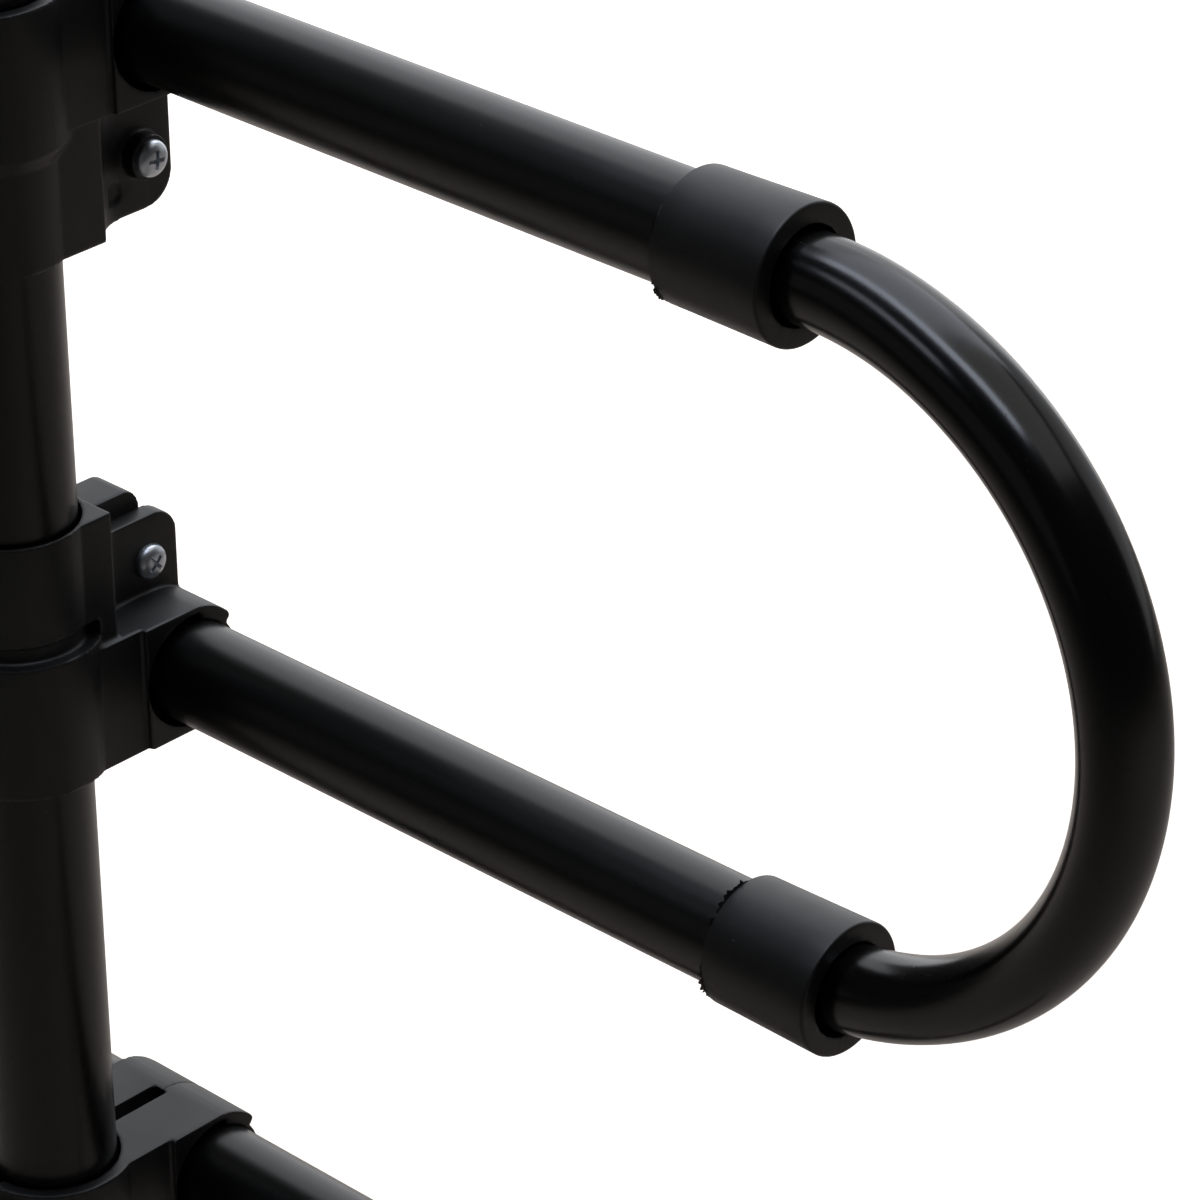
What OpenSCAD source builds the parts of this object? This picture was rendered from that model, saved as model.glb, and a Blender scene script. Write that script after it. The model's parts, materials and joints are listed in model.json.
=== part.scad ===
// Deck-mounted tubular handrail: two posts, two height-adjustable rail loops
// and four telescoping U-shaped ends, held together by two-part clamps.
// Origin: floor level, on the plane of the posts, midway between them.
// +X runs along the rails, +Y points from the posts to the rails, +Z is up.

/* [Posts] */
// Distance between the two post axes
post_spacing = 600; // [400:10:1200]
// Outer diameter of a post
post_d = 42.4; // [41:0.1:43]
// Wall thickness of a post
post_wall = 2; // [1.5:0.5:3]
// Height of the post tube's top above the floor
post_top = 990; // [970:5:1100]

/* [Rails] */
// Outer diameter of a rail tube
rail_d = 33.7; // [33:0.1:34.4]
// Wall thickness of a rail tube
rail_wall = 1.6; // [1.4:0.1:1.8]
// Distance from a post's axis to the plane of the rails
rail_offset = 50; // [48:1:56]
// Height of the uppermost rail's axis
top_rail_z = 900; // [880:5:920]
// Distance between the two rails of one loop
loop_gap = 220; // [200:5:230]
// Drop from the upper loop to the lower loop
loop_pitch = 414; // [400:1:420]
// How far a rail tube runs past a post's axis
rail_overhang = 276; // [240:1:320]
// Sideways shift of the lower rail of each loop
rail_shift = 20; // [0:1:22]

/* [U-shaped ends] */
// Outer diameter of an end tube
bend_d = 26.9; // [26.5:0.1:27.2]
// Wall thickness of an end tube
bend_wall = 1.5; // [1:0.1:2]
// Distance from a post's axis to the start of the bend, pushed fully in
bend_start = 287; // [286:1:340]
// Straight length of each leg that slides inside a rail
leg_len = 170; // [160:1:180]

/* [Collars] */
// Outer diameter of a rubber collar
collar_d = 42; // [40:0.2:43]
// Length of collar gripping the rail
collar_grip = 33; // [26:1:45]
// Length of collar past the rail's end
collar_nose = 6.5; // [5:0.5:7]

/* [Clamps] */
// Outer radius of the sleeve beside the rail
sleeve_r = 27; // [26:0.5:28]
// Depth of each clamp half, from the split to its flat face
half_depth = 24; // [23:0.5:25]
// Height of the clamp's saddle above and below the rail's axis
saddle_h = 21.8; // [20.5:0.1:23]
// Height of the clamp from the rail's axis to the end of its sleeve
long_end = 66; // [64:0.5:68]
// Gap left between the two halves for tightening
split_gap = 1.5; // [1:0.1:2]

/* [Flanges] */
// Outer diameter of a deck flange
flange_d = 140; // [136:1:150]
// Thickness of a flange's base
flange_t = 9; // [8:0.5:12]
// Bolt circle of a flange
bolt_circle = 110; // [104:1:112]
// Diameter of a flange's bolt holes
bolt_hole_d = 9; // [8.5:0.5:11]

/* [Hidden] */
$fn = 64;
eps = 0.01;
fit = 0.06;
post_r = post_d / 2;
rail_r = rail_d / 2;
bore_r = rail_r - rail_wall;
leg_r = bend_d / 2;
bend_r = loop_gap / 2;
rail_len = post_spacing + 2 * rail_overhang;

// Clamp features, measured from the rail's axis and the split plane
neck_r = 24;
wide_end = 25;
taper_end = 30;
groove_h = 6;
groove_r = 22.5;
rebate_r = post_r + 1.1;
rebate_depth = 6;
barrel_r = rail_r + 1.8;
mouth_r = rail_r + 2.4;
mouth_depth = 8;
lip_angle = 46;
lip_t = 4.2;
rim_x = 2;
rim_y = -19.5;
rear_corner_r = 8;
slot_y = [-25, -1];
slot_depth = 6.5;
ear_y = rail_offset + 34;
ear_r = 12;
ear_t = 9;
screw_r = 3;
screw_gap = 0.3;
screw_head_r = 6;
screw_head_h = 3.4;
nut_af = 10;
nut_t = 5;
boss_r = 7.4;

// Tabs, [long, short]: height of the screw, depth and end of each half,
// far edge, corner radius, and how far the thick shoulder runs along Y
tab_screw_z = [44.5, 32.6];
tab_face = [12.5, 7];
tab_back = [12, 16];
tab_boss = [5, 0];
front_top = [63.6, 48.6];
rear_top = [63.6, 56];
front_edge = [13.2, 12.3];
rear_edge = [13.2, 3];
front_corner = [11, 9.5];
rear_corner = [11, 7];
shoulder_x = 22;
shoulder_y = [-23, -27.5];
pocket_r = [17, 15];
step_r = 18;
ring_mark = [-11.8, 54.4];
ring_mark_r = 4;

bush_len = 25;
bush_inset = 12;
leg_bush_len = 15;
hub_r = 27;
hub_top = 55;
socket_floor = 5;
grub_r = 4;
grub_z = 34;

// ---- Helpers ----------------------------------------------------------

// Extrudes a Y-Z outline along X, from x0 to x1
module along_x(x0, x1) {
    translate([x0, 0, 0]) rotate([90, 0, 90]) linear_extrude(x1 - x0) children();
}

// A cylinder lying along X
module rod_x(x0, x1, r) {
    translate([x0, 0, 0]) rotate([0, 90, 0]) cylinder(h = x1 - x0, r = r);
}

// A tube lying along X
module tube_x(x0, x1, r_out, r_in) {
    difference() {
        rod_x(x0, x1, r_out);
        rod_x(x0 - 1, x1 + 1, r_in);
    }
}

// Places children on a post; side is -1 for left, 1 for right
module at_post(side) {
    translate([side * post_spacing / 2, 0, 0]) children();
}

// Height of a rail's axis: loop 0 is the upper, rail 0 the top of its loop
function rail_z(loop, rail) = top_rail_z - loop * loop_pitch - rail * loop_gap;

// Sideways position of a rail's middle
function rail_x(rail) = rail * rail_shift;

// ---- Posts and flanges ------------------------------------------------

module post(side) {
    color("#1c1c1e") at_post(side) difference() {
        translate([0, 0, socket_floor]) cylinder(h = post_top - socket_floor, r = post_r);
        cylinder(h = post_top + 1, r = post_r - post_wall);
    }
}

module post_cap(side) {
    rim_h = 4;
    dome_h = 6;
    plug_h = 18;
    plug_wall = 3;
    dome_r = (post_r * post_r + dome_h * dome_h) / (2 * dome_h);
    plug_r = post_r - post_wall - fit;
    color("#141414") at_post(side) translate([0, 0, post_top]) union() {
        cylinder(h = rim_h, r = post_r + 0.6);
        intersection() {
            translate([0, 0, rim_h + dome_h - dome_r]) sphere(r = dome_r, $fn = 128);
            translate([0, 0, rim_h - eps]) cylinder(h = dome_h + 1, r = post_r - 1);
        }
        translate([0, 0, -plug_h]) difference() {
            cylinder(h = plug_h + eps, r = plug_r);
            translate([0, 0, -1]) cylinder(h = plug_h, r = plug_r - plug_wall);
        }
    }
}

module deck_flange(side) {
    edge = 2;
    base_h = flange_t - edge;
    fillet = [7, 8];
    color("#1a1a1b") at_post(side) difference() {
        union() {
            cylinder(h = base_h, r = flange_d / 2);
            translate([0, 0, base_h])
                cylinder(h = edge, r1 = flange_d / 2, r2 = flange_d / 2 - edge - 1);
            cylinder(h = hub_top - edge, r = hub_r);
            translate([0, 0, hub_top - edge]) cylinder(h = edge, r1 = hub_r, r2 = hub_r - edge);
            translate([0, 0, flange_t])
                cylinder(h = fillet[1], r1 = hub_r + fillet[0], r2 = hub_r);
        }
        translate([0, 0, socket_floor]) cylinder(h = hub_top, r = post_r + fit);
        for (a = [45:90:315]) rotate([0, 0, a])
            translate([bolt_circle / 2, 0, -1]) cylinder(h = flange_t + 2, d = bolt_hole_d);
        for (s = [-1, 1]) rotate([0, 0, 90 + s * 60])
            translate([0, 0, grub_z]) rod_x(0, hub_r + 1, grub_r);
    }
}

module flange_grub_screws() {
    hex_r = 2.3;
    color("#b9bcc0") for (side = [-1, 1]) at_post(side)
        for (s = [-1, 1]) rotate([0, 0, 90 + s * 60]) translate([0, 0, grub_z]) difference() {
            rod_x(post_r + fit, hub_r - 0.5, grub_r - 0.05);
            translate([hub_r - 4, 0, 0]) rotate([0, 90, 0]) cylinder(h = 5, r = hex_r, $fn = 6);
        }
}

// ---- Rails ------------------------------------------------------------

module rail(loop, rail) {
    color("#1c1c1e") translate([rail_x(rail), rail_offset, rail_z(loop, rail)])
        tube_x(-rail_len / 2, rail_len / 2, rail_r, bore_r);
}

// Guide bushes just inside the mouths of the rails
module rail_bushes(loop) {
    x1 = rail_len / 2 - bush_inset;
    color("#3a3a3c") for (rail = [0, 1], s = [-1, 1])
        translate([rail_x(rail), rail_offset, rail_z(loop, rail)])
            mirror([s < 0 ? 1 : 0, 0, 0])
                tube_x(x1 - bush_len, x1, bore_r - 0.01, leg_r + fit);
}

// ---- Rubber collars ---------------------------------------------------

// Half section of a collar: X is the radius, Y runs out along the rail
module collar_section() {
    r = collar_d / 2;
    edge = 1;
    bevel = 0.5;
    grip_r = rail_r + 0.05;
    mouth = leg_r + 1.5;
    polygon([
        [grip_r, -collar_grip], [r - bevel, -collar_grip], [r, -collar_grip + bevel],
        [r, collar_nose - edge], [r - edge, collar_nose],
        [mouth + bevel, collar_nose], [mouth, collar_nose - bevel],
        [mouth, 0], [grip_r, 0]
    ]);
}

module collar(loop, rail, side) {
    color("#18181a") translate([rail_x(rail), rail_offset, rail_z(loop, rail)])
        mirror([side < 0 ? 1 : 0, 0, 0]) translate([rail_len / 2, 0, 0])
            rotate([0, 90, 0]) rotate_extrude($fn = 96) collar_section();
}

// ---- U-shaped ends ----------------------------------------------------

module ring(r_out, r_in) {
    difference() {
        circle(r = r_out);
        circle(r = r_in);
    }
}

module end_place(loop, side) {
    z = (rail_z(loop, 0) + rail_z(loop, 1)) / 2;
    translate([0, rail_offset, z]) mirror([side < 0 ? 1 : 0, 0, 0])
        translate([post_spacing / 2 + bend_start, 0, 0]) children();
}

module u_end(loop, side) {
    color("#161618") end_place(loop, side) union() {
        rotate([90, 0, 0]) rotate([0, 0, -90]) rotate_extrude(angle = 180, $fn = 180)
            translate([bend_r, 0]) ring(leg_r, leg_r - bend_wall);
        for (s = [-1, 1]) translate([0, 0, s * bend_r])
            tube_x(-leg_len, 0, leg_r, leg_r - bend_wall);
    }
}

// Guide bushes on the inner ends of the legs
module leg_bushes(loop, side) {
    color("#3a3a3c") end_place(loop, side) for (s = [-1, 1]) translate([0, 0, s * bend_r])
        tube_x(-leg_len, -leg_len + leg_bush_len, bore_r - 0.08, leg_r + 0.01);
}

// ---- Clamps -----------------------------------------------------------
// A clamp is drawn with its rail's axis on the X axis, the post at
// Y = -rail_offset and its tab upwards; kind 0 has the long tab, 1 the short.

// Y-Z outline of a tab with a rounded far corner
module tab_outline(top, edge, corner) {
    union() {
        translate([-rail_offset + post_r - 8, 0])
            square([edge - corner + rail_offset - post_r + 8, top]);
        square([edge, top - corner]);
        translate([edge - corner, top - corner]) circle(r = corner);
    }
}

// Y-Z outline of the saddle over the rail, with a rounded lip above and below
module saddle_outline() {
    lip_r = saddle_h - lip_t / 2;
    reach = 2 * saddle_h;
    union() {
        translate([-rail_offset, -saddle_h]) square([rail_offset, 2 * saddle_h]);
        circle(r = barrel_r);
        for (s = [-1, 1]) {
            intersection() {
                circle(r = saddle_h);
                polygon([[0, 0], [0, s * reach],
                    [reach * sin(lip_angle), s * reach * cos(lip_angle)]]);
            }
            translate([lip_r * sin(lip_angle), s * lip_r * cos(lip_angle)])
                circle(r = lip_t / 2);
        }
    }
}

// Everything that both halves cut away
module clamp_bores(kind) {
    x_far = half_depth + 8;
    z_low = -saddle_h - 1;
    z_tall = saddle_h + long_end + 2;
    translate([0, -rail_offset, z_low]) cylinder(h = z_tall, r = post_r + fit);
    for (z = [z_low, long_end - rebate_depth]) translate([0, -rail_offset, z])
        cylinder(h = rebate_depth + 1, r = rebate_r);
    rod_x(-x_far, x_far, rail_r + 0.05);
    for (s = [-1, 1]) intersection() {
        rod_x(s > 0 ? half_depth - mouth_depth : -x_far,
            s > 0 ? x_far : -half_depth + mouth_depth, mouth_r);
        translate([-x_far, -2 * mouth_r, -mouth_r])
            cube([2 * x_far, 2 * mouth_r + 4, 2 * mouth_r]);
    }
    for (yz = [[0, tab_screw_z[kind]], [-ear_y, 0]]) translate([0, yz[0], yz[1]])
        rod_x(-x_far, x_far, screw_r + screw_gap);
    if (kind == 1) translate([0, -rail_offset, wide_end]) difference() {
        cylinder(h = groove_h, r = sleeve_r + 1);
        translate([0, 0, -1]) cylinder(h = groove_h + 2, r = groove_r);
        translate([-x_far, groove_r - 7, -1]) cube([2 * x_far, 30, groove_h + 2]);
    }
}

// Full round sleeve before it is split: wide beside the rail, narrower above
module clamp_sleeve(kind) {
    top = kind == 0 ? front_top[0] : long_end;
    translate([0, -rail_offset, 0]) {
        translate([0, 0, -saddle_h]) cylinder(h = saddle_h + wide_end, r = sleeve_r);
        translate([0, 0, wide_end])
            cylinder(h = taper_end - wide_end, r1 = sleeve_r, r2 = neck_r);
        cylinder(h = top, r = neck_r);
    }
}

// Keeps the part of the sleeve on one side of the split
module half_sleeve(kind) {
    intersection() {
        clamp_sleeve(kind);
        translate([0, -rail_offset - 40, -saddle_h - 1])
            cube([40, 80, saddle_h + long_end + 2]);
    }
}

// The lug on the far side of the post, one half of it
module ear() {
    along_x(0, ear_t) union() {
        translate([-ear_y, -ear_r]) square([ear_y - rail_offset - 22, 2 * ear_r]);
        translate([-ear_y, 0]) circle(r = ear_r);
    }
}

// Thick shoulder beside the sleeve; in plan it sweeps down to the tab's face
module shoulder(kind) {
    foot = tab_face[kind];
    r = pocket_r[kind];
    reach = sqrt(r * r - pow(r - shoulder_x + foot, 2));
    top = kind == 0 ? front_top[0] : long_end;
    intersection() {
        linear_extrude(top) difference() {
            translate([0, -rail_offset]) square([shoulder_x, rail_offset]);
            translate([foot + r, shoulder_y[kind] + reach]) circle(r = r);
            translate([foot, shoulder_y[kind] + reach]) square([shoulder_x, rail_offset]);
        }
        along_x(0, shoulder_x) difference() {
            translate([-rail_offset, 0]) square([rail_offset, top]);
            if (kind == 1) {
                translate([shoulder_y[1] + step_r, long_end]) circle(r = step_r);
                translate([shoulder_y[1] + step_r, front_top[1]])
                    square([rail_offset, step_r + 1]);
            }
        }
    }
}

module clamp_front(kind) {
    slot_w = 2;
    line_w = 0.8;
    line_depth = 0.6;
    difference() {
        union() {
            half_sleeve(kind);
            along_x(0, half_depth) saddle_outline();
            along_x(0, half_depth + rim_x) intersection() {
                saddle_outline();
                translate([rim_y, -saddle_h]) square([60, 2 * saddle_h]);
            }
            along_x(0, tab_face[kind])
                tab_outline(front_top[kind], front_edge[kind], front_corner[kind]);
            shoulder(kind);
            translate([0, 0, tab_screw_z[kind]])
                rod_x(0, tab_face[kind] + tab_boss[kind], boss_r);
            ear();
        }
        clamp_bores(kind);
        translate([-1, -rail_offset - 60, -saddle_h - 1])
            cube([1 + split_gap / 2, 60 + rail_offset + slot_y[0], long_end + saddle_h + 2]);
        translate([-1, slot_y[0] - 1, -saddle_h - 1])
            cube([slot_w + 1, slot_y[1] - slot_y[0] + 1, slot_depth + 1]);
        translate([0, rim_y, -saddle_h - 1]) cube([half_depth + 5, line_w, line_depth + 1]);
        if (kind == 0) translate([0, ring_mark[0], ring_mark[1]])
            rod_x(tab_face[0] - 0.8, tab_face[0] + 1, ring_mark_r);
    }
}

module clamp_rear(kind) {
    slot_w = 4;
    tab_x = tab_back[kind];
    corner_y = saddle_h - lip_t - rear_corner_r;
    difference() {
        union() {
            mirror([1, 0, 0]) half_sleeve(kind);
            intersection() {
                along_x(-half_depth, 0) saddle_outline();
                translate([0, 0, -saddle_h - 1]) linear_extrude(2 * saddle_h + 2) union() {
                    translate([rear_corner_r - half_depth, corner_y])
                        circle(r = rear_corner_r);
                    translate([-half_depth, -rail_offset])
                        square([half_depth, rail_offset + corner_y]);
                    translate([rear_corner_r - half_depth, -rail_offset])
                        square([half_depth - rear_corner_r, rail_offset + 40]);
                }
            }
            along_x(-tab_x, 0)
                tab_outline(rear_top[kind], rear_edge[kind], rear_corner[kind]);
            mirror([1, 0, 0]) ear();
        }
        clamp_bores(kind);
        translate([-split_gap / 2, -rail_offset - 60, -saddle_h - 1])
            cube([1 + split_gap / 2, 60 + rail_offset + slot_y[0], long_end + saddle_h + 2]);
        translate([-slot_w, slot_y[0] - 1, -saddle_h - 1])
            cube([slot_w + 1, slot_y[1] - slot_y[0] + 1, slot_depth + 1]);
        translate([-tab_x - 1, 0, tab_screw_z[kind]]) rotate([0, 90, 0])
            cylinder(h = 1 + nut_t / 2, r = nut_af / sqrt(3) + 0.15, $fn = 6);
    }
}

// Puts a clamp on its rail; the tabs of one loop point at each other
module clamp_place(loop, rail, side) {
    translate([side * post_spacing / 2, rail_offset, rail_z(loop, rail)])
        mirror([0, 0, rail == 0 ? 1 : 0]) children();
}

module clamp_half(loop, rail, side, front) {
    color("#1e1e20") clamp_place(loop, rail, side) {
        if (front) clamp_front(rail);
        else clamp_rear(rail);
    }
}

// Pan-head screw along X: the head's underside is at x = 0
module clamp_screw(length) {
    cross_w = 1.7;
    cross_l = 7;
    difference() {
        union() {
            rod_x(-length, 0.5, screw_r);
            rod_x(0, screw_head_h - 1, screw_head_r);
            translate([screw_head_h - 1 - eps, 0, 0]) rotate([0, 90, 0])
                cylinder(h = 1, r1 = screw_head_r, r2 = screw_head_r - 1.2);
        }
        translate([screw_head_h - 1.9, -cross_l / 2, -cross_w / 2]) cube([3, cross_l, cross_w]);
        translate([screw_head_h - 1.9, -cross_w / 2, -cross_l / 2]) cube([3, cross_w, cross_l]);
    }
}

module hex_nut() {
    difference() {
        rotate([0, 90, 0]) cylinder(h = nut_t, r = nut_af / sqrt(3), $fn = 6);
        rod_x(-1, nut_t + 1, screw_r);
    }
}

// One screw through the tabs and one through the ears of every clamp
module clamp_screws(loop) {
    color("#d8dade") for (rail = [0, 1], side = [-1, 1]) clamp_place(loop, rail, side) {
        face = tab_face[rail] + tab_boss[rail];
        translate([face, 0, tab_screw_z[rail]])
            clamp_screw(face + tab_back[rail] + nut_t / 2 + 1);
        translate([ear_t, -ear_y, 0]) clamp_screw(2 * ear_t + nut_t + 1);
    }
}

module clamp_nuts(loop) {
    color("#c9ccd0") for (rail = [0, 1], side = [-1, 1]) clamp_place(loop, rail, side) {
        translate([-tab_back[rail] - nut_t / 2, 0, tab_screw_z[rail]]) hex_nut();
        translate([-ear_t - nut_t, -ear_y, 0]) hex_nut();
    }
}

// ---- Assembly ---------------------------------------------------------

post(-1);  // post_left
post(1);  // post_right
post_cap(-1);  // post_cap_left
post_cap(1);  // post_cap_right
deck_flange(-1);  // deck_flange_left
deck_flange(1);  // deck_flange_right
flange_grub_screws();
for (loop = [0, 1]) {
    l = loop == 0 ? "upper" : "lower";
    rail(loop, 0);
    rail(loop, 1);
    clamp_screws(loop);
    clamp_nuts(loop);
    rail_bushes(loop);
    for (side = [-1, 1]) {
        s = side < 0 ? "left" : "right";
        u_end(loop, side);
        leg_bushes(loop, side);
        for (rail = [0, 1]) {
            r = rail == 0 ? "top" : "bottom";
            clamp = str(l, "_loop_", r, "_clamp_", s);
            clamp_half(loop, rail, side, true);
            clamp_half(loop, rail, side, false);
            collar(loop, rail, side);
        }
    }
}
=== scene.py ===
"""Looks of a deck-mounted tubular handrail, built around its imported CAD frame.

Laid out as an add-on: sizes and colours sit in property groups, each group of
pieces has its own operator, and main() calls them in order. Lengths that a
user would change are in metres; the comments give millimetres.
"""

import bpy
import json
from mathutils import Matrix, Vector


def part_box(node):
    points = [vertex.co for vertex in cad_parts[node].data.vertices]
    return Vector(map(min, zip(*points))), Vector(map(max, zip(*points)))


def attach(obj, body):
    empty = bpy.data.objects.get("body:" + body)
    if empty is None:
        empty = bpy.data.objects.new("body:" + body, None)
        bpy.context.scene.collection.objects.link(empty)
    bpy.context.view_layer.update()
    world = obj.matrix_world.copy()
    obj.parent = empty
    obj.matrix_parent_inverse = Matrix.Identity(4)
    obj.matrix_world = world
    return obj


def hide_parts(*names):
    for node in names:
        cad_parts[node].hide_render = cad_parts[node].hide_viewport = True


bl_info = {
    "name": "Tubular handrail",
    "version": (1, 0, 0),
    "blender": (4, 5, 0),
    "location": "3D View > Sidebar > Handrail",
    "description": "Builds the surfaces, rubber collars and fasteners of a deck handrail",
    "category": "Object",
}

import json
import math
import random

import bmesh
import bpy
from mathutils import Matrix, Vector, noise

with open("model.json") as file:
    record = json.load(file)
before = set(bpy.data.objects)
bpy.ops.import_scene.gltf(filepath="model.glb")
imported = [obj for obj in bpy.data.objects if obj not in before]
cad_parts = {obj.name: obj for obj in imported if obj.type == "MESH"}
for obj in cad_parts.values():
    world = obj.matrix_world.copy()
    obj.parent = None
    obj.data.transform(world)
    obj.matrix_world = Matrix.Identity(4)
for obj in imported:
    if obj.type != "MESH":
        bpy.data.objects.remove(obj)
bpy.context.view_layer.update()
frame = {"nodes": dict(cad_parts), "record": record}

MM = 0.001
LOOPS = ("upper", "lower")
RAILS = ("top", "bottom")
SIDES = {"left": -1, "right": 1}
HALVES = ("front", "rear")


# ---- Places and sizes read from the frame -----------------------------

def middle(node):
    """Centre of a CAD node's box."""
    low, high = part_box(node)
    return (low + high) / 2


def size(node):
    """Lengths of a CAD node's box."""
    low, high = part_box(node)
    return high - low


def rail_node(loop, rail):
    return f"{loop}_loop_{rail}_rail"


def clamp_node(loop, rail, side, half):
    return f"{loop}_loop_{rail}_clamp_{side}_{half}"


def collar_node(loop, rail, side):
    return f"{loop}_loop_{rail}_collar_{side}"


POST_R = size("post_right").x / 2
POST_X = middle("post_right").x
RAIL_R = size(rail_node("upper", "top")).z / 2
RAIL_Y = middle(rail_node("upper", "top")).y
COLLAR_R = size(collar_node("upper", "top", "right")).z / 2
LEG_R = size("upper_right_end").y / 2
BEND_R = (size("upper_right_end").z - 2 * LEG_R) / 2


# ---- Colour and materials ---------------------------------------------

def linear(hex_colour):
    """Turns an sRGB hex value such as #1a2b3c into linear red, green, blue and alpha."""
    parts = [int(hex_colour[i:i + 2], 16) / 255 for i in (1, 3, 5)]
    light = [p / 12.92 if p <= 0.04045 else ((p + 0.055) / 1.055) ** 2.4 for p in parts]
    return (*light, 1.0)


def add(tree, kind, inputs=(), **settings):
    """Adds a node; inputs maps a socket to a value or to another node's output."""
    made = tree.nodes.new(kind)
    for key, value in settings.items():
        setattr(made, key, value)
    for key, value in dict(inputs).items():
        if isinstance(value, bpy.types.NodeSocket):
            tree.links.new(value, made.inputs[key])
        else:
            made.inputs[key].default_value = value
    return made


def ramp(tree, value, stops):
    """A colour ramp from (position, colour) stops, read from a value socket."""
    made = add(tree, "ShaderNodeValToRGB", {"Fac": value})
    elements = made.color_ramp.elements
    while len(elements) < len(stops):
        elements.new(0.5)
    for element, (position, colour) in zip(elements, stops):
        element.position = position
        element.color = colour
    return made.outputs["Color"]


def grey(value):
    return (value, value, value, 1.0)


def start_material(name):
    """An empty material with its principled shader, and coordinates in metres."""
    material = bpy.data.materials.new(name)
    material.use_nodes = True
    tree = material.node_tree
    tree.nodes.clear()
    shader = add(tree, "ShaderNodeBsdfPrincipled")
    add(tree, "ShaderNodeOutputMaterial", {"Surface": shader.outputs["BSDF"]})
    place = add(tree, "ShaderNodeTexCoord").outputs["Object"]
    return material, tree, shader, place


def grain(tree, place, width, detail=2.0, roughness=0.5):
    """Noise whose grains are about width metres across."""
    return add(tree, "ShaderNodeTexNoise", {
        "Vector": place, "Scale": 1.0 / width, "Detail": detail, "Roughness": roughness,
    }).outputs["Fac"]


def specks(tree, place, spacing, share, radius):
    """Value 1 in small round specks: one may lie in each cell of spacing metres."""
    cells = add(tree, "ShaderNodeTexVoronoi", {
        "Vector": place, "Scale": 1.0 / spacing, "Randomness": 1.0,
    }, feature="F1")
    near = add(tree, "ShaderNodeMath", {
        0: cells.outputs["Distance"], 1: radius / spacing,
    }, operation="LESS_THAN")
    pick = add(tree, "ShaderNodeSeparateColor", {"Color": cells.outputs["Color"]})
    chosen = add(tree, "ShaderNodeMath", {
        0: pick.outputs["Red"], 1: share,
    }, operation="LESS_THAN")
    return add(tree, "ShaderNodeMath", {
        0: near.outputs[0], 1: chosen.outputs[0],
    }, operation="MULTIPLY").outputs[0]


def mix_colour(tree, factor, below, above):
    """Blends two colours, each a value or a socket, by a factor socket."""
    made = add(tree, "ShaderNodeMix", {"Factor": factor}, data_type="RGBA")
    for socket, value in ((made.inputs[6], below), (made.inputs[7], above)):
        if isinstance(value, bpy.types.NodeSocket):
            tree.links.new(value, socket)
        else:
            socket.default_value = value
    return made.outputs[2]


def mix_value(tree, factor, below, above):
    """Runs from below to above as factor runs from 0 to 1."""
    return add(tree, "ShaderNodeMapRange", {
        "Value": factor, "To Min": below, "To Max": above,
    }).outputs["Result"]


def surface(tree, shader, colour, roughness, height=None, depth=0.0):
    """Joins colour, roughness and a bump of a given depth to the shader."""
    tree.links.new(colour, shader.inputs["Base Color"])
    tree.links.new(roughness, shader.inputs["Roughness"])
    if height is not None:
        bump = add(tree, "ShaderNodeBump", {"Height": height, "Distance": depth, "Strength": 1.0})
        tree.links.new(bump.outputs["Normal"], shader.inputs["Normal"])


def powder_coat(name, colour):
    """Satin black powder coat, sprayed and baked on steel: a soft broad sheen that
    an orange-peel skin of about 1.6 mm waves breaks up very slightly."""
    material, tree, shader, place = start_material(name)
    peel = grain(tree, place, 1.6 * MM, 1.0)
    cloud = grain(tree, place, 60 * MM, 3.0)
    dust = specks(tree, place, 5 * MM, 0.12, 0.14 * MM)
    lighter = tuple(min(1.0, c * 1.5) for c in colour[:3]) + (1.0,)
    tone = mix_colour(tree, cloud, colour, lighter)
    tone = mix_colour(tree, dust, tone, linear("#6d6a64"))
    rough = mix_value(tree, cloud, 0.24, 0.34)
    surface(tree, shader, tone, rough, peel, 0.012 * MM)
    shader.inputs["IOR"].default_value = 1.5
    return material


def gloss_coat(name, colour):
    """Glossy black stove enamel on the thin tube, rubbed by sliding in and out:
    sharper reflections with hair-fine scuffs and a little dust."""
    material, tree, shader, place = start_material(name)
    cloud = grain(tree, place, 45 * MM, 3.0)
    peel = grain(tree, place, 2.5 * MM, 1.0)
    stretched = add(tree, "ShaderNodeMapping", {"Vector": place, "Scale": (0.12, 1.0, 1.0)})
    scuffs = grain(tree, stretched.outputs["Vector"], 1.1 * MM, 4.0, 0.7)
    fine = ramp(tree, scuffs, [(0.0, grey(0)), (0.63, grey(0)), (0.72, grey(1))])
    dust = specks(tree, place, 6 * MM, 0.10, 0.13 * MM)
    tone = mix_colour(tree, cloud, colour, linear("#08080a"))
    tone = mix_colour(tree, dust, tone, linear("#77746e"))
    base = mix_value(tree, cloud, 0.15, 0.24)
    rubbed = mix_value(tree, fine, 0.0, 0.16)
    rough = add(tree, "ShaderNodeMath", {0: base, 1: rubbed}, operation="ADD").outputs[0]
    surface(tree, shader, tone, rough, peel, 0.010 * MM)
    shader.inputs["IOR"].default_value = 1.5
    return material


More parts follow.
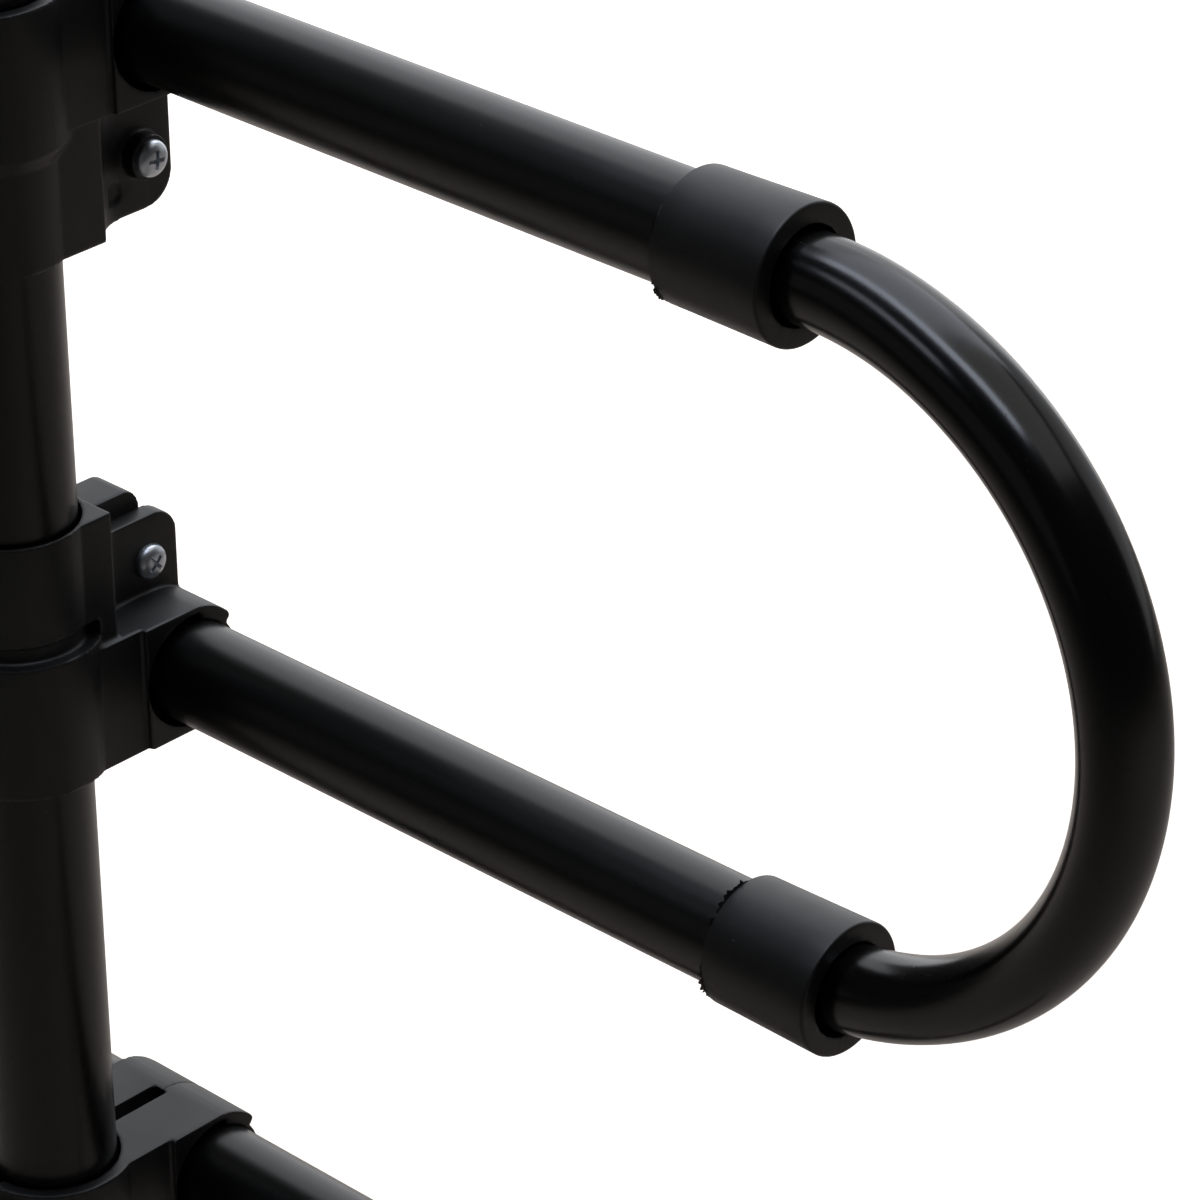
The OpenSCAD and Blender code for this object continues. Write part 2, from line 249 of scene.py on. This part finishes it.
def moulded_rubber(name, colour):
    """Compression-moulded black rubber: matt, faintly bloomed with grey, and dusty
    because it holds what lands on it."""
    material, tree, shader, place = start_material(name)
    skin = grain(tree, place, 0.7 * MM, 3.0, 0.6)
    bloom = grain(tree, place, 14 * MM, 4.0, 0.6)
    coarse = specks(tree, place, 4 * MM, 0.22, 0.20 * MM)
    small = specks(tree, place, 1.7 * MM, 0.16, 0.09 * MM)
    tone = mix_colour(tree, bloom, colour, linear("#131415"))
    tone = mix_colour(tree, coarse, tone, linear("#8d8a84"))
    tone = mix_colour(tree, small, tone, linear("#6b6964"))
    rough = mix_value(tree, bloom, 0.36, 0.48)
    surface(tree, shader, tone, rough, skin, 0.03 * MM)
    shader.inputs["IOR"].default_value = 1.52
    return material


def moulded_plastic(name, colour, low=0.40, high=0.54):
    """Injection-moulded black ABS from a spark-finished tool: fine, even, dull grain."""
    material, tree, shader, place = start_material(name)
    spark = grain(tree, place, 0.45 * MM, 2.0, 0.6)
    flow = grain(tree, place, 22 * MM, 3.0)
    dust = specks(tree, place, 5 * MM, 0.10, 0.13 * MM)
    tone = mix_colour(tree, flow, colour, linear("#0c0c0e"))
    tone = mix_colour(tree, dust, tone, linear("#6d6a64"))
    rough = mix_value(tree, flow, low, high)
    surface(tree, shader, tone, rough, spark, 0.02 * MM)
    shader.inputs["IOR"].default_value = 1.53
    return material


def zinc_plate(name, colour):
    """Bright zinc plate with a clear blue passivation on steel: silvery, softly
    mottled, with a cool tint in patches."""
    material, tree, shader, place = start_material(name)
    mottled = grain(tree, place, 2.2 * MM, 4.0, 0.6)
    pits = grain(tree, place, 0.25 * MM, 2.0)
    tone = mix_colour(tree, mottled, colour, linear("#c9d3e0"))
    rough = mix_value(tree, mottled, 0.26, 0.42)
    surface(tree, shader, tone, rough, pits, 0.008 * MM)
    shader.inputs["Metallic"].default_value = 1.0
    return material


FINISHES = {
    "rail_coat": lambda c: powder_coat("satin_powder_coat", c.rail[:]),
    "flange_coat": lambda c: powder_coat("satin_powder_coat_on_casting", c.flange[:]),
    "end_coat": lambda c: gloss_coat("gloss_stove_enamel", c.end[:]),
    "collar_rubber": lambda c: moulded_rubber("compression_moulded_rubber", c.rubber[:]),
    "clamp_plastic": lambda c: moulded_plastic("injection_moulded_abs", c.plastic[:]),
    "cap_plastic": lambda c: moulded_plastic("moulded_polyethylene", c.plastic[:], 0.34, 0.46),
    "bush_plastic": lambda c: moulded_plastic("moulded_nylon", c.bush[:], 0.30, 0.42),
    "zinc_steel": lambda c: zinc_plate("bright_zinc_plate", c.zinc[:]),
}
made_finishes = {}


def finish(slot):
    """The material of one of the record's slots, made the first time it is asked for."""
    if slot not in made_finishes:
        made_finishes[slot] = FINISHES[slot](bpy.context.scene.handrail_colours)
    return made_finishes[slot]


def dress(node, slot):
    """Gives a CAD node that stays as it is its material."""
    materials = frame["nodes"][node].data.materials
    materials.clear()
    materials.append(finish(slot))


# ---- Meshes -----------------------------------------------------------

def place_piece(name, bm, slot, body, nodes, matrix=None, smooth_under=35):
    """Turns a bmesh into a piece that rides on a body and stands for CAD nodes."""
    bmesh.ops.recalc_face_normals(bm, faces=bm.faces[:])
    mesh = bpy.data.meshes.new(name)
    bm.to_mesh(mesh)
    bm.free()
    return place_mesh(name, mesh, slot, body, nodes, matrix, smooth_under)


def place_mesh(name, mesh, slot, body, nodes, matrix=None, smooth_under=35):
    """Makes a piece of a ready mesh; edges under smooth_under degrees are shaded round."""
    piece = bpy.data.objects.new(name, mesh)
    bpy.context.scene.collection.objects.link(piece)
    if matrix is not None:
        piece.matrix_world = matrix
    mesh.shade_smooth()
    mesh.set_sharp_from_angle(angle=math.radians(smooth_under))
    if not mesh.materials:
        mesh.materials.append(finish(slot))
    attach(piece, body)
    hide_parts(*nodes)
    return piece


def bridge(bm, here, there):
    """Joins two rings of equally many vertices with a band of faces."""
    for j in range(len(here)):
        k = (j + 1) % len(here)
        bm.faces.new((here[j], here[k], there[k], there[j]))


def spin(bm, outline, segments, wobble=None):
    """Turns a closed outline of (x, radius) points round the X axis.

    wobble(i, angle) may return (dx, dr) to shift outline point i at an angle."""
    rings = []
    for j in range(segments):
        angle = 2 * math.pi * j / segments
        c, s = math.cos(angle), math.sin(angle)
        ring = []
        for i, (x, r) in enumerate(outline):
            dx, dr = wobble(i, angle) if wobble else (0, 0)
            ring.append(bm.verts.new((x + dx, (r + dr) * c, (r + dr) * s)))
        rings.append(ring)
    for here, there in zip(rings, rings[1:] + rings[:1]):
        bridge(bm, here, there)


def arc(cx, cr, radius, start, end, steps):
    """Points of a circular arc in an (x, radius) outline; angles in degrees."""
    return [(cx + radius * math.cos(math.radians(start + (end - start) * k / steps)),
             cr + radius * math.sin(math.radians(start + (end - start) * k / steps)))
            for k in range(steps + 1)]


def smoothstep(value):
    """Eases from 0 to 1 as value does, flat at both ends."""
    value = max(0.0, min(1.0, value))
    return value * value * (3 - 2 * value)


# ---- Property groups --------------------------------------------------

class HandrailSizes(bpy.types.PropertyGroup):
    """Sizes that only the looks depend on."""
    flattening: bpy.props.FloatProperty(
        name="Bend flattening", default=0.08, min=0.0, max=0.2, subtype="FACTOR",
        description="How far the bent tube is squashed in the plane of its bend")
    flash: bpy.props.FloatProperty(
        name="Moulding flash", default=1.8 * MM, min=0.0, max=2.5 * MM, unit="LENGTH",
        description="Tallest torn flash left on the rubber collars' inner edge")
    lip: bpy.props.FloatProperty(
        name="Collar mouth gap", default=1.5 * MM, min=1.3 * MM, max=2 * MM, unit="LENGTH",
        description="Gap between a collar's mouth and the thin tube")
    soften: bpy.props.FloatProperty(
        name="Moulded edge detail", default=0.6 * MM, min=0.4 * MM, max=2 * MM, unit="LENGTH",
        description="Size of the cells that round off the clamps' moulded edges")


def colour_property(name, description, hex_colour):
    return bpy.props.FloatVectorProperty(
        name=name, description=description, subtype="COLOR", size=4,
        min=0.0, max=1.0, default=linear(hex_colour))


class HandrailColours(bpy.types.PropertyGroup):
    """Base colours of the finishes."""
    rail: colour_property("Rails and posts", "Satin powder coat", "#050505")
    end: colour_property("U-shaped ends", "Gloss enamel", "#040405")
    flange: colour_property("Flanges", "Powder coat on the castings", "#080809")
    rubber: colour_property("Collars", "Moulded rubber", "#0a0a0b")
    plastic: colour_property("Clamps and caps", "Moulded plastic", "#070708")
    bush: colour_property("Bushes", "Moulded nylon", "#1b1b1d")
    zinc: colour_property("Fasteners", "Bright zinc plate", "#e9ebee")


class HandrailView(bpy.types.PropertyGroup):
    """Where the camera stands and how long its lens is."""
    aim_out: bpy.props.FloatProperty(
        name="Aim past the post", default=0.2047, unit="LENGTH",
        description="Distance of the aimed point from the right-hand post, along the rails")
    aim_down: bpy.props.FloatProperty(
        name="Aim below the middle", default=0.0184, unit="LENGTH",
        description="Distance of the aimed point below the upper loop's middle")
    distance: bpy.props.FloatProperty(
        name="Distance", default=1.529, unit="LENGTH",
        description="Distance from the camera to the aimed point")
    heading: bpy.props.FloatProperty(
        name="Heading", default=math.radians(43.52), subtype="ANGLE",
        description="Turn of the view from +Y towards -X")
    pitch: bpy.props.FloatProperty(
        name="Pitch", default=math.radians(28.70), subtype="ANGLE",
        description="How far the camera looks down")
    roll: bpy.props.FloatProperty(
        name="Roll", default=math.radians(-0.445), subtype="ANGLE",
        description="Turn of the camera about its own line of sight")
    lens: bpy.props.FloatProperty(
        name="Focal length", default=158.0, min=20.0, max=400.0,
        description="Focal length in millimetres on a 36 mm wide sensor")


# ---- Operators --------------------------------------------------------

class HANDRAIL_OT_stage(bpy.types.Operator):
    """Makes the pale floor, the soft lights, the world and the camera"""
    bl_idname = "handrail.stage"
    bl_label = "Stage"

    def execute(self, context):
        self.floor()
        self.world(context.scene)
        self.lights()
        self.camera(context.scene)
        context.scene.view_settings.view_transform = "Standard"
        return {"FINISHED"}

    def floor(self):
        bpy.ops.mesh.primitive_plane_add(size=80)
        floor = bpy.context.object
        floor.name = "floor"
        material, tree, shader, place = start_material("pale_studio_floor")
        cloud = grain(tree, place, 0.9, 2.0)
        tone = mix_colour(tree, cloud, linear("#f3f3f2"), linear("#fafafa"))
        tree.links.new(tone, shader.inputs["Base Color"])
        shader.inputs["Roughness"].default_value = 0.9
        shader.inputs["Emission Color"].default_value = linear("#ffffff")
        seen = add(tree, "ShaderNodeLightPath").outputs["Is Camera Ray"]
        glow = mix_value(tree, seen, 0.0, 0.7)
        tree.links.new(glow, shader.inputs["Emission Strength"])
        floor.data.materials.append(material)

    def world(self, scene):
        world = bpy.data.worlds.new("white_backdrop_dark_room")
        scene.world = world
        world.use_nodes = True
        tree = world.node_tree
        tree.nodes.clear()
        seen = add(tree, "ShaderNodeLightPath").outputs["Is Camera Ray"]
        strength = mix_value(tree, seen, 0.03, 1.0)
        back = add(tree, "ShaderNodeBackground", {"Color": linear("#ffffff"), "Strength": strength})
        add(tree, "ShaderNodeOutputWorld", {"Surface": back.outputs["Background"]})

    def soft_box(self, name, middle_at, wide, tall, brightness, look_at, mirrored, tint):
        """A rectangular lamp; brightness 1 looks as bright as white paper.

        A mirrored lamp is seen in shiny surfaces only, any other lights the floor only."""
        data = bpy.data.lights.new(name, "AREA")
        data.shape = "RECTANGLE"
        data.size = wide
        data.size_y = tall
        data.energy = brightness * math.pi * wide * tall
        data.color = linear(tint)[:3]
        lamp = bpy.data.objects.new(name, data)
        bpy.context.scene.collection.objects.link(lamp)
        lamp.location = middle_at
        lamp.rotation_euler = (look_at - middle_at).to_track_quat("-Z", "Y").to_euler()
        lamp.visible_camera = False
        lamp.visible_diffuse = not mirrored
        lamp.visible_glossy = mirrored

    def lights(self):
        """Soft boxes in rows overhead and standing around, and two lamps washing the floor."""
        for name, x, y, z, brightness, tint in (
            ("overhead_soft_box", (-3.4, -0.45), (0.55, 2.9), 2.6, 1.3, "#f7faff"),
            ("end_soft_box", (-0.45, 0.75), (0.0, 2.9), 2.6, 2.3, "#eef4ff"),
            ("side_soft_box", (0.75, 2.4), (0.0, 2.1), 2.6, 0.75, "#f4f2f0"),
            ("edge_strip", (-0.45, 1.7), (-0.35, 0.0), 2.6, 6.0, "#e6efff"),
            ("near_strip", (-0.7, 0.7), (-1.6, -1.15), 2.6, 2.4, "#e6efff"),
            ("left_strip", (-1.7, -0.75), (-1.1, -0.45), 2.6, 0.10, "#ffffff"),
            ("floor_wash", (-2.2, -0.1), (-0.5, 2.7), 1.75, 1.7, "#fff3ea"),
            ("right_wash", (2.0, 3.4), (-0.5, 1.8), 1.75, 0.9, "#fff3ea"),
        ):
            spot = Vector((sum(x) / 2, sum(y) / 2, z))
            down = spot - Vector((0, 1e-6, 1))
            self.soft_box(name, spot, x[1] - x[0], y[1] - y[0], brightness, down,
                          "wash" not in name, tint)
        for name, x, y, z, brightness in (
            ("rear_left_soft_box", (-5.0, 0.0), 3.2, (0.0, 3.0), 1.3),
            ("rear_right_soft_box", (0.0, 2.6), 3.2, (0.3, 3.0), 0.45),
            ("front_fill", (-3.0, 2.0), -3.2, (0.8, 2.6), 0.08),
        ):
            spot = Vector((sum(x) / 2, y, sum(z) / 2))
            self.soft_box(name, spot, x[1] - x[0], z[1] - z[0], brightness,
                          spot - Vector((0, y, 0)), True, "#fbfcff")

    def camera(self, scene):
        v = scene.handrail_view
        data = bpy.data.cameras.new("camera")
        data.sensor_width = 36.0
        data.lens = v.lens
        data.clip_start = 0.05
        data.clip_end = 200.0
        cam = bpy.data.objects.new("camera", data)
        scene.collection.objects.link(cam)
        forward = Vector((-math.sin(v.heading) * math.cos(v.pitch),
                          math.cos(v.heading) * math.cos(v.pitch), -math.sin(v.pitch)))
        aim = Vector((POST_X + v.aim_out, RAIL_Y, middle("upper_right_end").z - v.aim_down))
        turn = forward.to_track_quat("-Z", "Y").to_matrix() @ Matrix.Rotation(v.roll, 3, "Z")
        cam.matrix_world = Matrix.Translation(aim - forward * v.distance) @ turn.to_4x4()
        scene.camera = cam


class HANDRAIL_OT_tubes(bpy.types.Operator):
    """Makes the posts and the rails as smooth, round tubes with rolled ends"""
    bl_idname = "handrail.tubes"
    bl_label = "Posts and rails"

    segments = 160
    post_wall = 2.0 * MM
    rail_wall = 1.6 * MM

    def tube(self, name, length, r_out, wall, matrix, body):
        """A tube from the origin along X, its rims broken by a small bevel."""
        edge = 0.4 * MM
        r_in = r_out - wall
        outline = [(0, r_in + edge), (edge, r_in), (length - edge, r_in), (length, r_in + edge),
                   (length, r_out - edge), (length - edge, r_out), (edge, r_out), (0, r_out - edge)]
        bm = bmesh.new()
        spin(bm, outline, self.segments)
        place_piece(name + "_tube", bm, "rail_coat", body, [name], matrix)

    def execute(self, context):
        for side in SIDES:
            low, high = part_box(f"post_{side}")
            stand = Matrix.Translation((middle(f"post_{side}").x, 0, low.z))
            self.tube(f"post_{side}", high.z - low.z, POST_R, self.post_wall,
                      stand @ Matrix.Rotation(-math.pi / 2, 4, "Y"), "base")
        for loop in LOOPS:
            for rail in RAILS:
                low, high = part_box(rail_node(loop, rail))
                start = Vector((low.x, RAIL_Y, middle(rail_node(loop, rail)).z))
                self.tube(rail_node(loop, rail), high.x - low.x, RAIL_R, self.rail_wall,
                          Matrix.Translation(start), f"{loop}_loop")
        return {"FINISHED"}


class HANDRAIL_OT_ends(bpy.types.Operator):
    """Bends the thin tubes into U-shaped ends, flattened as a real tube bend is"""
    bl_idname = "handrail.ends"
    bl_label = "U-shaped ends"

    around = 72
    bend_steps = 120
    wall = 1.5 * MM
    ease_start = 4.0
    ease = 24.0

    def stations(self, leg):
        """(x, z, direction in degrees, how far flattened) along the tube's centre.

        Flattening starts ease_start degrees into the bend and is full ease degrees on."""
        rows = [(-leg, BEND_R, 0.0, 0.0), (-0.5 * leg, BEND_R, 0.0, 0.0), (0.0, BEND_R, 0.0, 0.0)]
        for k in range(1, self.bend_steps):
            turned = 180.0 * k / self.bend_steps
            a = math.radians(turned)
            near_end = min(turned, 180.0 - turned)
            flat = smoothstep((near_end - self.ease_start) / self.ease)
            rows.append((BEND_R * math.sin(a), BEND_R * math.cos(a), turned, flat))
        rows += [(x, -z, 180.0, 0.0) for x, z, _, _ in reversed(rows[:3])]
        return rows

    def skin(self, bm, leg, flattening, inset):
        """One wall of the tube, inset from the outside; returns its rings."""
        rings = []
        for x, z, turned, flat in self.stations(leg):
            a = math.radians(turned)
            out = Vector((math.sin(a), 0, math.cos(a)))
            r_in_plane = LEG_R * (1 - flattening * flat) - inset
            r_across = LEG_R * (1 + flattening * flat) - inset
            ring = []
            for j in range(self.around):
                t = 2 * math.pi * j / self.around
                p = Vector((x, 0, z)) + out * (r_in_plane * math.cos(t))
                p.y += r_across * math.sin(t)
                ring.append(bm.verts.new(p))
            rings.append(ring)
        for here, there in zip(rings, rings[1:]):
            bridge(bm, here, there)
        return rings

    def execute(self, context):
        flattening = context.scene.handrail_sizes.flattening
        for loop in LOOPS:
            for side, sign in SIDES.items():
                node = f"{loop}_{side}_end"
                low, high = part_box(node)
                leg = high.x - low.x - BEND_R - LEG_R
                bm = bmesh.new()
                outer = self.skin(bm, leg, flattening, 0.0)
                inner = self.skin(bm, leg, flattening, self.wall)
                for mouth in (0, -1):
                    bridge(bm, outer[mouth], inner[mouth])
                start = sign * (max(abs(low.x), abs(high.x)) - BEND_R - LEG_R)
                spot = Matrix.Translation((start, RAIL_Y, middle(node).z))
                bm.transform(spot @ Matrix.Diagonal((sign, 1, 1, 1)))
                place_piece(f"{node}_tube", bm, "end_coat", f"{loop}_{side}_slide_end", [node])
        return {"FINISHED"}


class HANDRAIL_OT_collars(bpy.types.Operator):
    """Moulds the rubber collars, with torn flash on one edge and a burred lip"""
    bl_idname = "handrail.collars"
    bl_label = "Rubber collars"

    segments = 240
    fin = 2
    lining = 6
    burr = 0.22 * MM

    def outline(self, grip, nose):
        """Closed (x, radius) outline; x is 0 at the rail's end and grows outwards.

        Point fin is the tip of the torn flash; the last lining points are in the mouth."""
        edge = 1.0 * MM
        inner = RAIL_R + 0.05 * MM
        heel = COLLAR_R - 0.7 * MM
        mouth = LEG_R + bpy.context.scene.handrail_sizes.lip
        return ([(-grip, inner), (-grip, heel - 0.35 * MM), (-grip - 0.01 * MM, heel),
                 (-grip + 0.12 * MM, heel), (-grip + 0.5 * MM, heel + 0.05 * MM)]
                + [(-grip + f * (grip + nose - edge), heel + 0.7 * MM * f)
                   for f in (0.2, 0.4, 0.6, 0.8)]
                + arc(nose - edge, COLLAR_R - edge, edge, 90, 0, 6)
                + [(nose, mouth + 0.7 * MM), (nose, mouth + 0.35 * MM),
                   (nose - 0.15 * MM, mouth), (nose - 0.8 * MM, mouth),
                   (0.5 * nose, mouth), (0.1 * MM, mouth), (0.1 * MM, inner)])

    def torn(self, angle, seed):
        """Height of the torn flash at an angle: clumps of ragged bits, bare between."""
        c, s = math.cos(angle), math.sin(angle)
        clump = noise.noise(Vector((1.3 * c, 1.3 * s, seed)))
        ragged = noise.noise(Vector((14 * c, 14 * s, seed + 7.0)))
        tiny = noise.noise(Vector((45 * c, 45 * s, seed + 3.0)))
        return max(0.0, smoothstep((clump + 0.12) * 3.0) * (0.45 + 0.9 * ragged + 0.6 * tiny))

    def ragged(self, outline, seed, flash):
        """Shifts that give an outline its torn flash and the burrs round its mouth."""
        mouth = len(outline) - self.lining

        def wobble(i, angle):
            c, s = math.cos(angle), math.sin(angle)
            if i == self.fin:
                room = COLLAR_R / max(abs(c), 0.5) - outline[i][1]
                rise = min(self.torn(angle, seed) * flash, room)
                return -0.3 * rise, rise
            if i in (mouth, mouth + 1):
                rise = self.burr * noise.noise(Vector((20 * c, 20 * s, seed)))
                return -abs(rise), rise
            return 0.0, 0.0

        return wobble

    def execute(self, context):
        flash = context.scene.handrail_sizes.flash
        for loop in LOOPS:
            for row, rail in enumerate(RAILS):
                rail_low, rail_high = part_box(rail_node(loop, rail))
                for side, sign in SIDES.items():
                    node = collar_node(loop, rail, side)
                    low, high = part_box(node)
                    rail_end = rail_high.x if sign > 0 else rail_low.x
                    tip = high.x if sign > 0 else low.x
                    nose = abs(tip - rail_end)
                    outline = self.outline(high.x - low.x - nose, nose)
                    seed = 3.1 + 11.7 * len(node) + 2.3 * row + (0.9 if sign > 0 else 0.0)
                    bm = bmesh.new()
                    spin(bm, outline, self.segments, self.ragged(outline, seed, flash))
                    spot = Matrix.Translation((rail_end, RAIL_Y, middle(node).z))
                    bm.transform(spot @ Matrix.Diagonal((sign, 1, 1, 1)))
                    place_piece(node + "_rubber", bm, "collar_rubber", f"{loop}_loop", [node],
                                smooth_under=50)
        return {"FINISHED"}


class HANDRAIL_OT_clamps(bpy.types.Operator):
    """Rounds the moulded clamp halves and repeats each kind where it is used"""
    bl_idname = "handrail.clamps"
    bl_label = "Clamps"

    quick_cell = 1.2 * MM

    def moulded(self, node, cell):
        """A copy of a CAD half with every edge softened, as a mesh about its own rail."""
        source = frame["nodes"][node]
        piece = bpy.data.objects.new("softened_half", source.data.copy())
        bpy.context.scene.collection.objects.link(piece)
        for kind, settings in (
            ("REMESH", {"mode": "VOXEL", "voxel_size": cell, "use_smooth_shade": True}),
            ("SMOOTH", {"factor": 0.5, "iterations": 5}),
            ("DECIMATE", {"decimate_type": "DISSOLVE", "angle_limit": math.radians(2.5)}),
            ("TRIANGULATE", {}),
        ):
            modifier = piece.modifiers.new(kind.lower(), kind)
            for key, value in settings.items():
                setattr(modifier, key, value)
        graph = bpy.context.evaluated_depsgraph_get()
        mesh = bpy.data.meshes.new_from_object(piece.evaluated_get(graph))
        bpy.data.objects.remove(piece)
        mesh.materials.clear()
        return mesh

    def execute(self, context):
        cell = context.scene.handrail_sizes.soften
        for rail in RAILS:
            for half in HALVES:
                first = clamp_node("upper", rail, "right", half)
                home = Vector((POST_X, 0, middle(first).z))
                mesh = self.moulded(first, cell)
                mesh.transform(Matrix.Translation(-home))
                for loop in LOOPS:
                    for side, sign in SIDES.items():
                        node = clamp_node(loop, rail, side, half)
                        spot = Matrix.Translation((sign * POST_X, 0, middle(node).z))
                        place_mesh(f"{node}_moulding", mesh, "clamp_plastic", f"{loop}_loop",
                                   [node], spot)
        return {"FINISHED"}


class HANDRAIL_OT_screws(bpy.types.Operator):
    """Turns pan-head screws with a cross recess and rolled threads"""
    bl_idname = "handrail.screws"
    bl_label = "Clamp screws"

    head_h = 3.4 * MM
    shank_r = 3.0 * MM
    pitch = 1.0 * MM
    thread_depth = 0.45 * MM
    recess_depth = 2.2 * MM
    crown_power = 2.6

    def islands(self, node):
        """(low, high) corners of each separate screw in a CAD node, in order of place."""
        thing = frame["nodes"][node]
        bm = bmesh.new()
        bm.from_mesh(thing.data)
        bm.transform(thing.matrix_world)
        bmesh.ops.remove_doubles(bm, verts=bm.verts, dist=0.001 * MM)
        left = set(bm.verts)
        boxes = []
        while left:
            stack = [left.pop()]
            corners = []
            while stack:
                vert = stack.pop()
                corners.append(vert.co.copy())
                for edge in vert.link_edges:
                    other = edge.other_vert(vert)
                    if other in left:
                        left.remove(other)
                        stack.append(other)
            boxes.append((Vector(map(min, zip(*corners))), Vector(map(max, zip(*corners)))))
        bm.free()
        return sorted(boxes, key=lambda box: [round(value / MM) for value in box[0]])

    def turned(self, outline, segments):
        """Closed lathe-turned solid about X from an open (x, radius) outline, tip to tip."""
        bm = bmesh.new()
        rings = []
        for x, r in outline:
            rings.append([bm.verts.new((x, r * math.cos(t), r * math.sin(t)))
                          for t in (2 * math.pi * j / segments for j in range(segments))])
        for here, there in zip(rings, rings[1:]):
            bridge(bm, here, there)
        bm.faces.new(rings[0])
        bm.faces.new(rings[-1])
        return bm

    def shank(self, length):
        """Threaded shank from the tip at -length up into the head."""
        outline = [(-length, self.shank_r - 0.8 * MM)]
        x = -length + 0.6 * MM
        while x < -self.head_h - 1.2 * MM:
            outline += [(x, self.shank_r - self.thread_depth), (x + self.pitch / 2, self.shank_r)]
            x += self.pitch
        outline += [(-self.head_h + 0.4 * MM, self.shank_r - 0.1 * MM)]
        return self.turned(outline, 32)

    def bar(self, reach, half):
        """Tapered bar; two of them crossed make the hollow a cross-point driver fits."""
        bm = bmesh.new()
        for v in bmesh.ops.create_cube(bm, size=1.0)["verts"]:
            deep = v.co.x < 0
            v.co = Vector((-self.recess_depth if deep else 1 * MM,
                           math.copysign(reach * (0.42 if deep else 1.12), v.co.y),
                           math.copysign(half * (0.7 if deep else 1.05), v.co.z)))
        return bm

    def loose(self, name, bm):
        """A helper object, removed again once its shape has been used."""
        bmesh.ops.recalc_face_normals(bm, faces=bm.faces[:])
        mesh = bpy.data.meshes.new(name)
        bm.to_mesh(mesh)
        bm.free()
        thing = bpy.data.objects.new(name, mesh)
        bpy.context.scene.collection.objects.link(thing)
        return thing

    def head(self, head_r):
        """Pan head whose top is at x = 0, with a cross recess."""
        def drop(t):
            """Depth below the top, as a share of the head's height, at t of its radius."""
            return 1 - (1 - t ** self.crown_power) ** (1 / self.crown_power)

        crown = [(-self.head_h * drop(t), head_r * t)
                 for t in (1.0, 0.985, 0.95, 0.9, 0.8, 0.65, 0.5, 0.3, 0.15)]
        body = self.turned([(-self.head_h, head_r - 0.15 * MM)] + crown, 64)
        things = [self.loose("screw_head", body)]
        for turn in (0, 90):
            bar = self.bar(0.62 * head_r, 0.12 * head_r)
            bar.transform(Matrix.Rotation(math.radians(turn), 4, "X"))
            things.append(self.loose("screw_bar", bar))
            modifier = things[0].modifiers.new("cut", "BOOLEAN")
            modifier.operation = "DIFFERENCE"
            modifier.solver = "EXACT"
            modifier.object = things[-1]
        graph = bpy.context.evaluated_depsgraph_get()
        result = bmesh.new()
        result.from_mesh(things[0].evaluated_get(graph).to_mesh())
        for thing in things:
            bpy.data.objects.remove(thing)
        return result

    def execute(self, context):
        spare = random.Random(5)
        head = None
        for loop in LOOPS:
            node = f"{loop}_loop_clamp_screws"
            bm = bmesh.new()
            for low, high in self.islands(node):
                if head is None:
                    head = self.head((high.z - low.z) / 2)
                spot = Matrix.Translation((high.x, (low.y + high.y) / 2, (low.z + high.z) / 2))
                turn = spot @ Matrix.Rotation(spare.uniform(0, math.pi), 4, "X")
                for part in (head.copy(), self.shank(high.x - low.x)):
                    part.transform(turn)
                    holder = bpy.data.meshes.new("screw_part")
                    part.to_mesh(holder)
                    part.free()
                    bm.from_mesh(holder)
                    bpy.data.meshes.remove(holder)
            place_piece(f"{loop}_loop_pan_head_screws", bm, "zinc_steel", f"{loop}_loop", [node])
        head.free()
        return {"FINISHED"}


class HANDRAIL_OT_plain(bpy.types.Operator):
    """Gives the CAD pieces that stay as they are their materials"""
    bl_idname = "handrail.plain"
    bl_label = "Flanges, caps, bushes and fasteners"

    def execute(self, context):
        slots = {row["node"]: row["material_slot"] for row in frame["record"]["subparts"]}
        for node, thing in frame["nodes"].items():
            if not thing.hide_render:
                dress(node, slots[node])
        return {"FINISHED"}


class VIEW3D_PT_handrail(bpy.types.Panel):
    """Lists the steps that build the handrail"""
    bl_label = "Handrail"
    bl_space_type = "VIEW_3D"
    bl_region_type = "UI"
    bl_category = "Handrail"

    def draw(self, context):
        for step in STEPS:
            self.layout.operator(step.bl_idname)
        for group in (context.scene.handrail_sizes, context.scene.handrail_colours,
                      context.scene.handrail_view):
            for name in group.bl_rna.properties.keys():
                if name not in ("rna_type", "name"):
                    self.layout.prop(group, name)


STEPS = (HANDRAIL_OT_stage, HANDRAIL_OT_tubes, HANDRAIL_OT_ends, HANDRAIL_OT_collars,
         HANDRAIL_OT_clamps, HANDRAIL_OT_screws, HANDRAIL_OT_plain)
GROUPS = {"handrail_sizes": HandrailSizes, "handrail_colours": HandrailColours,
          "handrail_view": HandrailView}


def register():
    for thing in (*GROUPS.values(), *STEPS, VIEW3D_PT_handrail):
        bpy.utils.register_class(thing)
    for name, group in GROUPS.items():
        setattr(bpy.types.Scene, name, bpy.props.PointerProperty(type=group))


def unregister():
    for name in GROUPS:
        delattr(bpy.types.Scene, name)
    for thing in (VIEW3D_PT_handrail, *reversed(STEPS), *reversed(GROUPS.values())):
        bpy.utils.unregister_class(thing)


def main():
    """Builds every step in order."""
    register()
    for step in STEPS:
        group, name = step.bl_idname.split(".")
        getattr(getattr(bpy.ops, group), name)()


if __name__ == "__main__":
    main()
